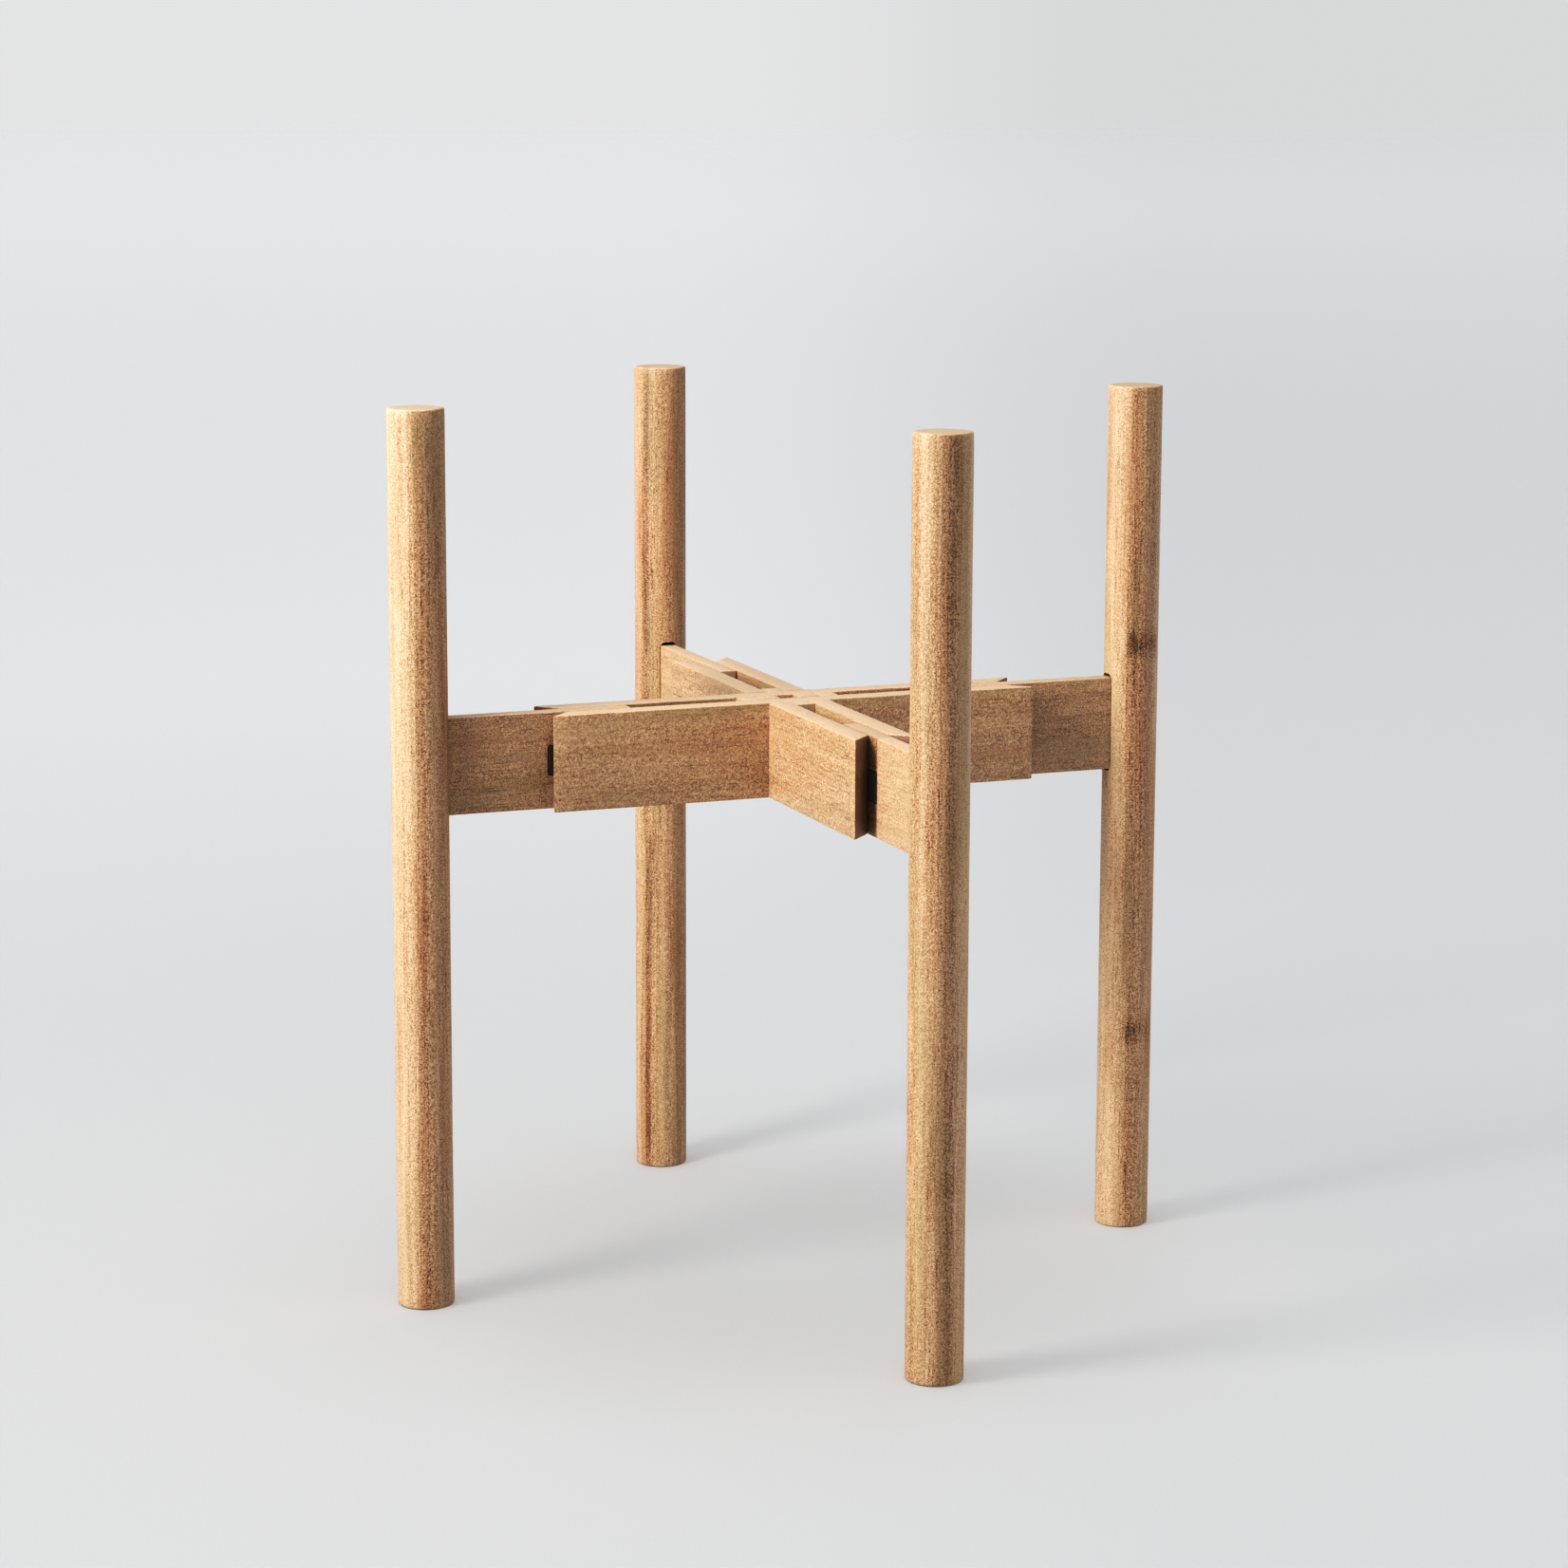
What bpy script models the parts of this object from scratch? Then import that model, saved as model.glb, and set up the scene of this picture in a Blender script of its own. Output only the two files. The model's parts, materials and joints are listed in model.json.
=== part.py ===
"""Adjustable wooden plant pot stand: four round legs on sliding arms around a cross-shaped hub.

Units are metres, +Z is up, and the origin is on the floor below the centre of the hub.
The hub is two crossed beams. A beam is a pair of plates with a slot between them, and an arm
slides in each end of each slot, with a leg glued to its outer end. The arms are pulled right out.
"""

import math

import bmesh
import bpy

# Legs: round dowels that stand on the floor and rise past the beams to hold the pot
LEG_HEIGHT = 0.380
LEG_DIAMETER = 0.024
LEG_REACH = 0.1635  # from the hub's centre to a leg's axis
LEG_SIDES = 64
LEG_RIM_ROUND = 0.0009

# Beams
BEAM_TOP = 0.251
BEAM_HEIGHT = 0.041
PLATE_THICKNESS = 0.0095
PLATE_LENGTH = 0.220  # along its outer face, where it is longest
ARM_THICKNESS = 0.0076
GAP = 0.0003  # between a piece and its neighbour
EDGE_ROUND = 0.0005

# Arms: from the open slot to the mortise in the leg
ARM_INNER_END = 0.072
ARM_TENON = 0.010  # length of arm inside the leg
MORTISE_OVERCUT = 0.0020  # height of the mortise above and below the arm
MORTISE_ROUND = 0.0026
TRAVEL = 0.049  # how far an arm slides in until its leg nests in the notched plate ends

# Spacers: blocks that hold the plates of a beam apart, beside the crossing
SPACER_OUTER_END = 0.022

# Felt strips: friction pads let into both faces of an arm
FELT_LENGTH = 0.028
FELT_HEIGHT = 0.013
FELT_THICKNESS = 0.0015
FELT_OUTER_END = 0.109
FELT_ROUND = 0.0008

# Stop pins: a dowel through each arm, whose ends run in stopped grooves inside the plates
PIN_DIAMETER = 0.004
PIN_INSET = 0.005  # from the arm's inner end to the pin's axis
PIN_STANDS_OUT = 0.002  # beyond each face of the arm
PIN_ABOVE_BEAM_BOTTOM = 0.010
PIN_SIDES = 24

# Meshes
CORNER_SEGMENTS = 6  # in a rounded corner of a pocket, groove or mortise
EDGE_SEGMENTS = 2  # in a broken edge
SMOOTH_ANGLE = 35  # faces that meet at less than this, in degrees, are shaded smooth
EDGE_ANGLE = 50  # an edge sharper than this, in degrees, is broken
SAME_PLACE = 1e-7
NOTCH_CUTTER_SIDE = 0.040  # long enough to pass both sides of a plate's end
GROOVE_ROUND_SHARE = 0.98  # just under 1, so that the groove keeps a sliver of flat end
EMPTY_SIZE = 0.03

SLOT = ARM_THICKNESS + 2 * GAP
BEAM_MIDDLE = BEAM_TOP - BEAM_HEIGHT / 2
BEAM_BOTTOM = BEAM_TOP - BEAM_HEIGHT
PLATE_OFFSET = SLOT / 2 + PLATE_THICKNESS / 2
ARM_OUTER_END = LEG_REACH - LEG_DIAMETER / 2 + ARM_TENON
PIN_REACH = ARM_INNER_END + PIN_INSET
PIN_HEIGHT = BEAM_BOTTOM + PIN_ABOVE_BEAM_BOTTOM
CLEAR_THROUGH = 0.010  # how far a cutter runs past what it cuts

# Each side: its name, the angle of its arm from +X, and what lies to the left and right of the arm
SIDES = (
    ("right", 0, "rear", "front"),
    ("rear", 90, "left", "right"),
    ("left", 180, "front", "rear"),
    ("front", 270, "right", "left"),
)

# Base colour and roughness of each kind of piece
LEG_WOOD = ((0.56, 0.35, 0.17), 0.55)
ARM_WOOD = ((0.50, 0.30, 0.15), 0.55)
PLATE_WOOD = ((0.54, 0.33, 0.16), 0.55)
SPACER_WOOD = ((0.48, 0.29, 0.14), 0.60)
PIN_WOOD = ((0.62, 0.42, 0.22), 0.60)
FELT = ((0.055, 0.035, 0.025), 0.95)


def clear_scene():
    for old in list(bpy.data.objects):
        bpy.data.objects.remove(old)


def new_collection(name):
    collection = bpy.data.collections.new(name)
    bpy.context.scene.collection.children.link(collection)
    return collection


def add_mesh_object(name, bm, collection, location):
    """Makes an object from a bmesh, smooth where it is round and sharp at its corners."""
    mesh = bpy.data.meshes.new(name)
    bm.to_mesh(mesh)
    bm.free()
    mesh.shade_smooth()
    mesh.set_sharp_from_angle(angle=math.radians(SMOOTH_ANGLE))
    made = bpy.data.objects.new(name, mesh)
    made.location = location
    collection.objects.link(made)
    return made


def block(name, size, location, collection, round_along=None, radius=0.0):
    """A box. round_along is the axis, 0 to 2, whose four parallel edges are rounded by radius."""
    bm = bmesh.new()
    bmesh.ops.create_cube(bm, size=1)
    bmesh.ops.scale(bm, vec=size, verts=bm.verts)
    if round_along is not None:
        across = [i for i in range(3) if i != round_along]
        edges = []
        for edge in bm.edges:
            start, end = edge.verts
            if all(abs(start.co[i] - end.co[i]) < SAME_PLACE for i in across):
                edges.append(edge)
        bmesh.ops.bevel(
            bm,
            geom=edges,
            offset=radius,
            segments=CORNER_SEGMENTS,
            profile=0.5,
            affect="EDGES",
        )
    return add_mesh_object(name, bm, collection, location)


def cylinder(name, diameter, length, sides, location, collection):
    """A closed cylinder along its own Z."""
    bm = bmesh.new()
    bmesh.ops.create_cone(
        bm,
        cap_ends=True,
        segments=sides,
        radius1=diameter / 2,
        radius2=diameter / 2,
        depth=length,
    )
    return add_mesh_object(name, bm, collection, location)


def round_edges(part, width):
    bevel = part.modifiers.new("rounded_edges", "BEVEL")
    bevel.width = width
    bevel.segments = EDGE_SEGMENTS
    bevel.limit_method = "ANGLE"
    bevel.angle_limit = math.radians(EDGE_ANGLE)
    bevel.use_clamp_overlap = True


def cut(part, cutter):
    boolean = part.modifiers.new("cut_" + cutter.name, "BOOLEAN")
    boolean.operation = "DIFFERENCE"
    boolean.solver = "EXACT"
    boolean.object = cutter


def as_cutter(cutter, parent):
    cutter.parent = parent
    cutter.hide_render = True
    cutter.display_type = "WIRE"
    return cutter


def paint(part, finish):
    """Gives a part a material of its own."""
    colour, roughness = finish
    material = bpy.data.materials.new(part.name)
    material.use_nodes = True
    shader = material.node_tree.nodes["Principled BSDF"]
    shader.inputs["Base Color"].default_value = (*colour, 1)
    shader.inputs["Roughness"].default_value = roughness
    shader.inputs["Metallic"].default_value = 0
    part.data.materials.append(material)


def axis_empty(name, height, angle, collection):
    """An empty on the hub's centre line whose own +X points outwards along a beam."""
    empty = bpy.data.objects.new(name, None)
    empty.location = (0, 0, height)
    empty.rotation_euler = (0, 0, math.radians(angle))
    empty.empty_display_size = EMPTY_SIZE
    collection.objects.link(empty)
    return empty


def add_leg(side, slide, parts, cutters):
    """A dowel with a round-cornered mortise that faces the hub."""
    leg = cylinder(
        "leg_" + side,
        LEG_DIAMETER,
        LEG_HEIGHT,
        LEG_SIDES,
        (LEG_REACH, 0, LEG_HEIGHT / 2 - BEAM_MIDDLE),
        parts,
    )
    leg.parent = slide
    round_edges(leg, LEG_RIM_ROUND)
    mortise_start = LEG_REACH - LEG_DIAMETER / 2 - CLEAR_THROUGH
    mortise_end = ARM_OUTER_END + GAP
    mortise = block(
        "mortise_" + side,
        (mortise_end - mortise_start, SLOT, BEAM_HEIGHT + 2 * MORTISE_OVERCUT),
        ((mortise_start + mortise_end) / 2, 0, 0),
        cutters,
        round_along=0,
        radius=MORTISE_ROUND,
    )
    cut(leg, as_cutter(mortise, slide))
    paint(leg, LEG_WOOD)


def add_arm(side, slide, parts, cutters):
    """A flat bar with a shallow pocket for felt in each face and a hole for the stop pin."""
    arm = block(
        "arm_" + side,
        (ARM_OUTER_END - ARM_INNER_END, ARM_THICKNESS, BEAM_HEIGHT),
        ((ARM_OUTER_END + ARM_INNER_END) / 2, 0, 0),
        parts,
    )
    arm.parent = slide
    round_edges(arm, EDGE_ROUND)
    pocket_depth = FELT_THICKNESS + GAP
    for label, direction in (("left", 1), ("right", -1)):
        pocket = block(
            f"felt_pocket_{side}_{label}",
            (
                FELT_LENGTH + 2 * GAP,
                pocket_depth + CLEAR_THROUGH,
                FELT_HEIGHT + 2 * GAP,
            ),
            (
                FELT_OUTER_END - FELT_LENGTH / 2,
                direction * (ARM_THICKNESS / 2 - pocket_depth / 2 + CLEAR_THROUGH / 2),
                0,
            ),
            cutters,
            round_along=1,
            radius=FELT_ROUND + GAP,
        )
        cut(arm, as_cutter(pocket, slide))
    pin_hole = cylinder(
        "pin_hole_" + side,
        PIN_DIAMETER + 2 * GAP,
        ARM_THICKNESS + 2 * CLEAR_THROUGH,
        PIN_SIDES,
        (PIN_REACH, 0, PIN_HEIGHT - BEAM_MIDDLE),
        cutters,
    )
    pin_hole.rotation_euler = (math.radians(90), 0, 0)
    cut(arm, as_cutter(pin_hole, slide))
    paint(arm, ARM_WOOD)


def add_felt_strips(side, neighbours, slide, parts):
    """One strip in each face of the arm, flush with the wood around it."""
    for neighbour, direction in zip(neighbours, (1, -1)):
        strip = block(
            f"felt_strip_{side}_{neighbour}",
            (FELT_LENGTH, FELT_THICKNESS, FELT_HEIGHT),
            (
                FELT_OUTER_END - FELT_LENGTH / 2,
                direction * (ARM_THICKNESS / 2 - FELT_THICKNESS / 2),
                0,
            ),
            parts,
            round_along=1,
            radius=FELT_ROUND,
        )
        strip.parent = slide
        paint(strip, FELT)


def add_stop_pin(side, slide, parts):
    pin = cylinder(
        "stop_pin_" + side,
        PIN_DIAMETER,
        ARM_THICKNESS + 2 * PIN_STANDS_OUT,
        PIN_SIDES,
        (PIN_REACH, 0, PIN_HEIGHT - BEAM_MIDDLE),
        parts,
    )
    pin.rotation_euler = (math.radians(90), 0, 0)
    pin.parent = slide
    round_edges(pin, EDGE_ROUND)
    paint(pin, PIN_WOOD)


def add_spacer(side, beam, direction, parts):
    """A block in the slot, from the plate of the other beam outwards."""
    inner_end = SLOT / 2 + PLATE_THICKNESS + GAP
    spacer = block(
        "spacer_" + side,
        (SPACER_OUTER_END - inner_end, ARM_THICKNESS, BEAM_HEIGHT),
        (direction * (SPACER_OUTER_END + inner_end) / 2, 0, 0),
        parts,
    )
    spacer.parent = beam
    round_edges(spacer, EDGE_ROUND)
    paint(spacer, SPACER_WOOD)


def end_notches(beam_name, beam, cutters):
    """A square prism on edge at each end of a beam, which leaves a V that a leg nests in."""
    inner_corner = PLATE_LENGTH / 2 - SLOT / 2 - PLATE_THICKNESS
    centre = inner_corner + NOTCH_CUTTER_SIDE / math.sqrt(2)
    notches = []
    for label, direction in (("far", 1), ("near", -1)):
        notch = block(
            f"end_notch_{beam_name}_{label}",
            (NOTCH_CUTTER_SIDE, NOTCH_CUTTER_SIDE, BEAM_HEIGHT + 2 * CLEAR_THROUGH),
            (direction * centre, 0, 0),
            cutters,
        )
        notch.rotation_euler = (0, 0, math.radians(45))
        notches.append(as_cutter(notch, beam))
    return notches


def half_laps(beam_name, beam, cut_below, cutters):
    """Two notches, to the middle of the beam's height, where the other beam's plates cross it."""
    height = BEAM_HEIGHT / 2 + GAP / 2 + CLEAR_THROUGH
    middle = (CLEAR_THROUGH + BEAM_HEIGHT / 2 - GAP / 2) / 2
    laps = []
    for label, direction in (("far", 1), ("near", -1)):
        lap = block(
            f"half_lap_{beam_name}_{label}",
            (
                PLATE_THICKNESS + 2 * GAP,
                SLOT + 2 * PLATE_THICKNESS + 2 * CLEAR_THROUGH,
                height,
            ),
            (direction * PLATE_OFFSET, 0, -middle if cut_below else middle),
            cutters,
        )
        laps.append(as_cutter(lap, beam))
    return laps


def stop_grooves(beam_name, beam, cutters):
    """Two round-ended grooves that reach into both plates of a beam, one for each stop pin."""
    pin_room = PIN_DIAMETER / 2 + GAP
    outer_end = PIN_REACH + pin_room
    inner_end = PIN_REACH - TRAVEL - pin_room
    grooves = []
    for label, direction in (("far", 1), ("near", -1)):
        groove = block(
            f"stop_groove_{beam_name}_{label}",
            (
                outer_end - inner_end,
                ARM_THICKNESS + 2 * PIN_STANDS_OUT + 2 * GAP,
                PIN_DIAMETER + 2 * GAP,
            ),
            (direction * (outer_end + inner_end) / 2, 0, PIN_HEIGHT - BEAM_MIDDLE),
            cutters,
            round_along=1,
            radius=pin_room * GROOVE_ROUND_SHARE,
        )
        grooves.append(as_cutter(groove, beam))
    return grooves


def add_beam(beam_name, angle, plate_names, spacer_names, cut_below, parts, cutters):
    """Two plates and two spacers. plate_names lie to the left and right of the beam's own +X."""
    beam = axis_empty(beam_name, BEAM_MIDDLE, angle, parts)
    all_cutters = end_notches(beam_name, beam, cutters)
    all_cutters += half_laps(beam_name, beam, cut_below, cutters)
    all_cutters += stop_grooves(beam_name, beam, cutters)
    for name, direction in zip(plate_names, (1, -1)):
        plate = block(
            "hub_plate_" + name,
            (PLATE_LENGTH, PLATE_THICKNESS, BEAM_HEIGHT),
            (0, direction * PLATE_OFFSET, 0),
            parts,
        )
        plate.parent = beam
        round_edges(plate, EDGE_ROUND)
        for cutter in all_cutters:
            cut(plate, cutter)
        paint(plate, PLATE_WOOD)
    for side, direction in zip(spacer_names, (1, -1)):
        add_spacer(side, beam, direction, parts)


def main():
    clear_scene()
    parts = new_collection("plant_pot_stand")
    cutters = new_collection("cutters")
    add_beam("beam_x", 0, ("rear", "front"), ("right", "left"), True, parts, cutters)
    add_beam("beam_y", 90, ("left", "right"), ("rear", "front"), False, parts, cutters)
    for side, angle, *neighbours in SIDES:
        slide = axis_empty("slide_" + side, BEAM_MIDDLE, angle, parts)
        add_leg(side, slide, parts, cutters)
        add_arm(side, slide, parts, cutters)
        add_felt_strips(side, neighbours, slide, parts)
        add_stop_pin(side, slide, parts)


main()
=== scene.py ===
"""The looks of the plant pot stand: honey-brown wood, brown felt strips and a plain studio."""

import json
import math
import random

import bmesh
import bpy
from mathutils import Matrix, Vector, noise


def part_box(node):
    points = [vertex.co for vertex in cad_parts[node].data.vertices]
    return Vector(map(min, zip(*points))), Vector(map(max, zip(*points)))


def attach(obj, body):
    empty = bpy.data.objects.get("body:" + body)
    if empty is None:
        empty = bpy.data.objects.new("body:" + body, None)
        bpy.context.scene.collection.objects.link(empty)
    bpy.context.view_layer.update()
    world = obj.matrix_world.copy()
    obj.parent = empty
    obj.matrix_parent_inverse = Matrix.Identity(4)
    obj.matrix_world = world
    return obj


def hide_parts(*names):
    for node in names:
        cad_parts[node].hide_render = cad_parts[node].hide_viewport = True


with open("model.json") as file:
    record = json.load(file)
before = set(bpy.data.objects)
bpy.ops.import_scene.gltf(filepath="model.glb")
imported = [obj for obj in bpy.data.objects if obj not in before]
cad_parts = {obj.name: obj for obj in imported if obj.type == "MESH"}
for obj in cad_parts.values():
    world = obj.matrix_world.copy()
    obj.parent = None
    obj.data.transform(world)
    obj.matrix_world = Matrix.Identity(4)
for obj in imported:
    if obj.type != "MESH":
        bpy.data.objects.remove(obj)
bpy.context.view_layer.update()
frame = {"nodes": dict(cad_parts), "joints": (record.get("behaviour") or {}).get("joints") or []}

MM = 0.001

# The stand's sides: name, and the angle of its arm from +X in degrees
SIDES = (("right", 0), ("rear", 90), ("left", 180), ("front", 270))
# Hub plates: name, the angle of its outer face from +Y, and whether its half-laps open downward
PLATES = (("rear", 0, True), ("front", 180, True), ("left", 90, False), ("right", 270, False))

# Sizes that the CAD parts give
leg_low, leg_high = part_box("leg_right")
arm_low, arm_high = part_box("arm_right")
plate_low, plate_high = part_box("hub_plate_rear")
spacer_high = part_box("spacer_right")[1]
felt_low, felt_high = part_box("felt_strip_right_rear")
pin_low, pin_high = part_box("stop_pin_right")
leg_radius = (leg_high.y - leg_low.y) / 2
leg_height = leg_high.z - leg_low.z
leg_reach = (leg_high.x + leg_low.x) / 2
beam_middle = (plate_low.z + plate_high.z) / 2
beam_half = (plate_high.z - plate_low.z) / 2
slot_half = plate_low.y
plate_outer = plate_high.y
plate_half_length = plate_high.x
arm_half_thickness = arm_high.y
pin_radius = (pin_high.z - pin_low.z) / 2
pin_reach = (pin_high.x + pin_low.x) / 2
pin_drop = (pin_high.z + pin_low.z) / 2 - beam_middle
travel = -frame["joints"][0]["range_m"][0]

# Fits of the visible pieces
JOINT_GAP = 0.05 * MM  # at glued joints
RUNNING_GAP = 0.3 * MM  # at sliding ones, and beside the arms in their mortises
MORTISE_ABOVE = 1.5 * MM  # how far a mortise reaches past its arm
MORTISE_BELOW = 1.0 * MM
CUT_THROUGH = 10 * MM  # how far a cutter reaches past the wood it opens

# Rounded edges, and how far sanding and handling have worn them
MORTISE_ROUND = 2.6 * MM
POCKET_ROUND = 1.0 * MM
BOARD_ROUND = 0.55 * MM
SPACER_ROUND = 0.25 * MM
RIM_ROUND = 0.9 * MM
FELT_ROUND = 0.4 * MM
RIM_WEAR = 0.35 * MM
RIM_WEAR_REACH = 1.6 * MM
BOARD_WEAR = 0.16 * MM
BOARD_WEAR_REACH = 1.1 * MM
SPACER_WEAR = 0.05 * MM
SPACER_WEAR_REACH = 0.6 * MM
SWELL_DEPTH = 0.06 * MM
RIPPLE_DEPTH = 0.018 * MM
FELT_NAP = 0.1 * MM

# How finely the meshes are divided
LEG_SIDES = 144
LEG_RINGS = 96
CAP_RINGS = (0.3, 0.6, 0.85)  # as shares of the leg's radius
RIM_STEPS = 4
PIN_HOLE_SIDES = 32
BOARD_STEP = 6 * MM
SPACER_STEP = 3 * MM
FELT_STEPS = (28, 13)  # along and up a strip
SHARPEST_SMOOTH = math.radians(32)

# The viewpoint, which the backdrop's tones follow too
VIEWER = (-0.5940, -1.5187, 0.5245)
VIEW_HEADING = 21.31  # in degrees, from +Y towards +X
VIEW_DOWN = 9.43
VIEW_ROLL = 0.18
LENS = 88.53
SENSOR = 36
SHIFT = -0.06
SIDE_FADE = (-0.04, 0.11)  # where the backdrop darkens to the right, as a line of sight's slope

# The backdrop's tones; a pair is the tone to the left and to the right. The paper's tones paint
# shade and light: darker near the stand as painted shade, and darker to the right as a painted
# fall of the light.
FLOOR_RADIUS = 40.0
PAPER_SHADED_NEAR = 0.586
PAPER_MIDDLE = (0.703, 0.598)
PAPER_FAR = (0.760, 0.678)
HORIZON_LIGHT = (0.785, 0.700)
OVERHEAD_LIGHT = 0.10


# ---- Meshes -----------------------------------------------------------------------------------


def new_object(name, bm, place):
    mesh = bpy.data.meshes.new(name)
    bm.to_mesh(mesh)
    bm.free()
    made = bpy.data.objects.new(name, mesh)
    bpy.context.scene.collection.objects.link(made)
    made.matrix_world = place
    return made


def box_mesh(low, high, round_along=None, radius=0.0):
    """A box between two corners, with the edges along one axis rounded if asked."""
    bm = bmesh.new()
    bmesh.ops.create_cube(bm, size=1)
    bmesh.ops.scale(bm, vec=Vector(high) - Vector(low), verts=bm.verts)
    bmesh.ops.translate(bm, vec=(Vector(high) + Vector(low)) / 2, verts=bm.verts)
    if round_along is not None:
        edges = []
        for edge in bm.edges:
            run = (edge.verts[0].co - edge.verts[1].co).normalized()
            if abs(run[round_along]) > 0.99:
                edges.append(edge)
        bmesh.ops.bevel(bm, geom=edges, offset=radius, segments=8, profile=0.5, affect="EDGES")
    return bm


def cut(piece, cutter_mesh):
    """Cuts a bmesh, given in the piece's own coordinates, out of the piece for good."""
    cutter = new_object("cutter", cutter_mesh, piece.matrix_world)
    boolean = piece.modifiers.new("cut", "BOOLEAN")
    boolean.operation = "DIFFERENCE"
    boolean.solver = "EXACT"
    boolean.object = cutter
    bpy.context.view_layer.update()
    graph = bpy.context.evaluated_depsgraph_get()
    uncut = piece.data
    piece.data = bpy.data.meshes.new_from_object(piece.evaluated_get(graph))
    piece.modifiers.clear()
    bpy.data.meshes.remove(uncut)
    bpy.data.objects.remove(cutter)


def sand(piece, wear, seed, edge_test):
    """Wears the piece's edges a little unevenly, by up to wear, and marks them for the material.
    edge_test gives 1 on an edge, falling to 0 beside it."""
    mesh = piece.data
    edge_mark = mesh.attributes.new("edge_mark", "FLOAT", "POINT")
    normals = [vertex.normal.copy() for vertex in mesh.vertices]
    for vertex, normal in zip(mesh.vertices, normals):
        mark = edge_test(vertex.co)
        edge_mark.data[vertex.index].value = mark
        if mark > 0:
            spot = vertex.co * 70 + Vector((seed * 3.1, seed * 1.7, 0))
            uneven = (1 + noise.noise(spot)) / 2
            vertex.co -= normal * wear * mark * uneven * uneven
    mesh.shade_smooth()
    mesh.set_sharp_from_angle(angle=SHARPEST_SMOOTH)


def add_loop(bm, spot, direction):
    """Divides a mesh along the plane through a spot, across a direction."""
    everything = bm.verts[:] + bm.edges[:] + bm.faces[:]
    bmesh.ops.bisect_plane(bm, geom=everything, plane_co=spot, plane_no=direction)


def board(name, outline, angle, radius=BOARD_ROUND, step=BOARD_STEP):
    """A board as tall as the beams, over an outline of (x, y) points, turned by an angle about the
    stand's axis. Its edges are rounded, and it has a loop every step along its own X."""
    bm = bmesh.new()
    bottom = bm.faces.new([bm.verts.new((x, y, -beam_half)) for x, y in outline])
    lifted = bmesh.ops.extrude_face_region(bm, geom=[bottom])["geom"]
    top = [item for item in lifted if isinstance(item, bmesh.types.BMVert)]
    bmesh.ops.translate(bm, vec=(0, 0, 2 * beam_half), verts=top)
    bmesh.ops.recalc_face_normals(bm, faces=bm.faces)
    bmesh.ops.bevel(bm, geom=bm.edges[:], offset=radius, segments=4, profile=0.5, affect="EDGES")
    start = min(x for x, y in outline)
    end = max(x for x, y in outline)
    for i in range(1, int((end - start) / step)):
        add_loop(bm, (start + i * step, 0, 0), (1, 0, 0))
    turned = Matrix.Rotation(math.radians(angle), 4, "Z")
    return new_object(name, bm, turned @ Matrix.Translation((0, 0, beam_middle)))


def edge_nearness(depths, reach):
    """1 where a point lies on two faces, falling to 0 where its second nearest is reach away."""
    return max(0.0, min(1.0, 1 - sorted(depths)[1] / reach))


def box_edge_nearness(spot, low, high, reach):
    depths = [min(spot[i] - low[i], high[i] - spot[i]) for i in range(3)]
    return edge_nearness(depths, reach)


# ---- Pieces -----------------------------------------------------------------------------------


def leg_profile():
    """Half a leg's outline as (radius, height) points, from the middle of its foot up to the middle
    of its top."""
    profile = []
    for i in range(RIM_STEPS + 1):
        turn = math.radians(90 * i / RIM_STEPS)
        inset = RIM_ROUND * (1 - math.sin(turn))
        rise = RIM_ROUND * (1 - math.cos(turn))
        profile.append((leg_radius - inset, rise))
    foot_rim = profile[:]
    for i in range(1, LEG_RINGS):
        height = RIM_ROUND + (leg_height - 2 * RIM_ROUND) * i / LEG_RINGS
        profile.append((leg_radius, height))
    profile += [(radius, leg_height - height) for radius, height in reversed(foot_rim)]
    cap = [(leg_radius * share, 0.0) for share in CAP_RINGS]
    return cap + profile + [(radius, leg_height) for radius, height in reversed(cap)]


def sanded_away(spot, depth, scale_across, scale_along, start):
    """How far sanding has taken a leg's surface in at a spot."""
    place = Vector((spot.x * scale_across, spot.y * scale_across, spot.z * scale_along + start))
    return depth * (1 + noise.noise(place))


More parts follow.
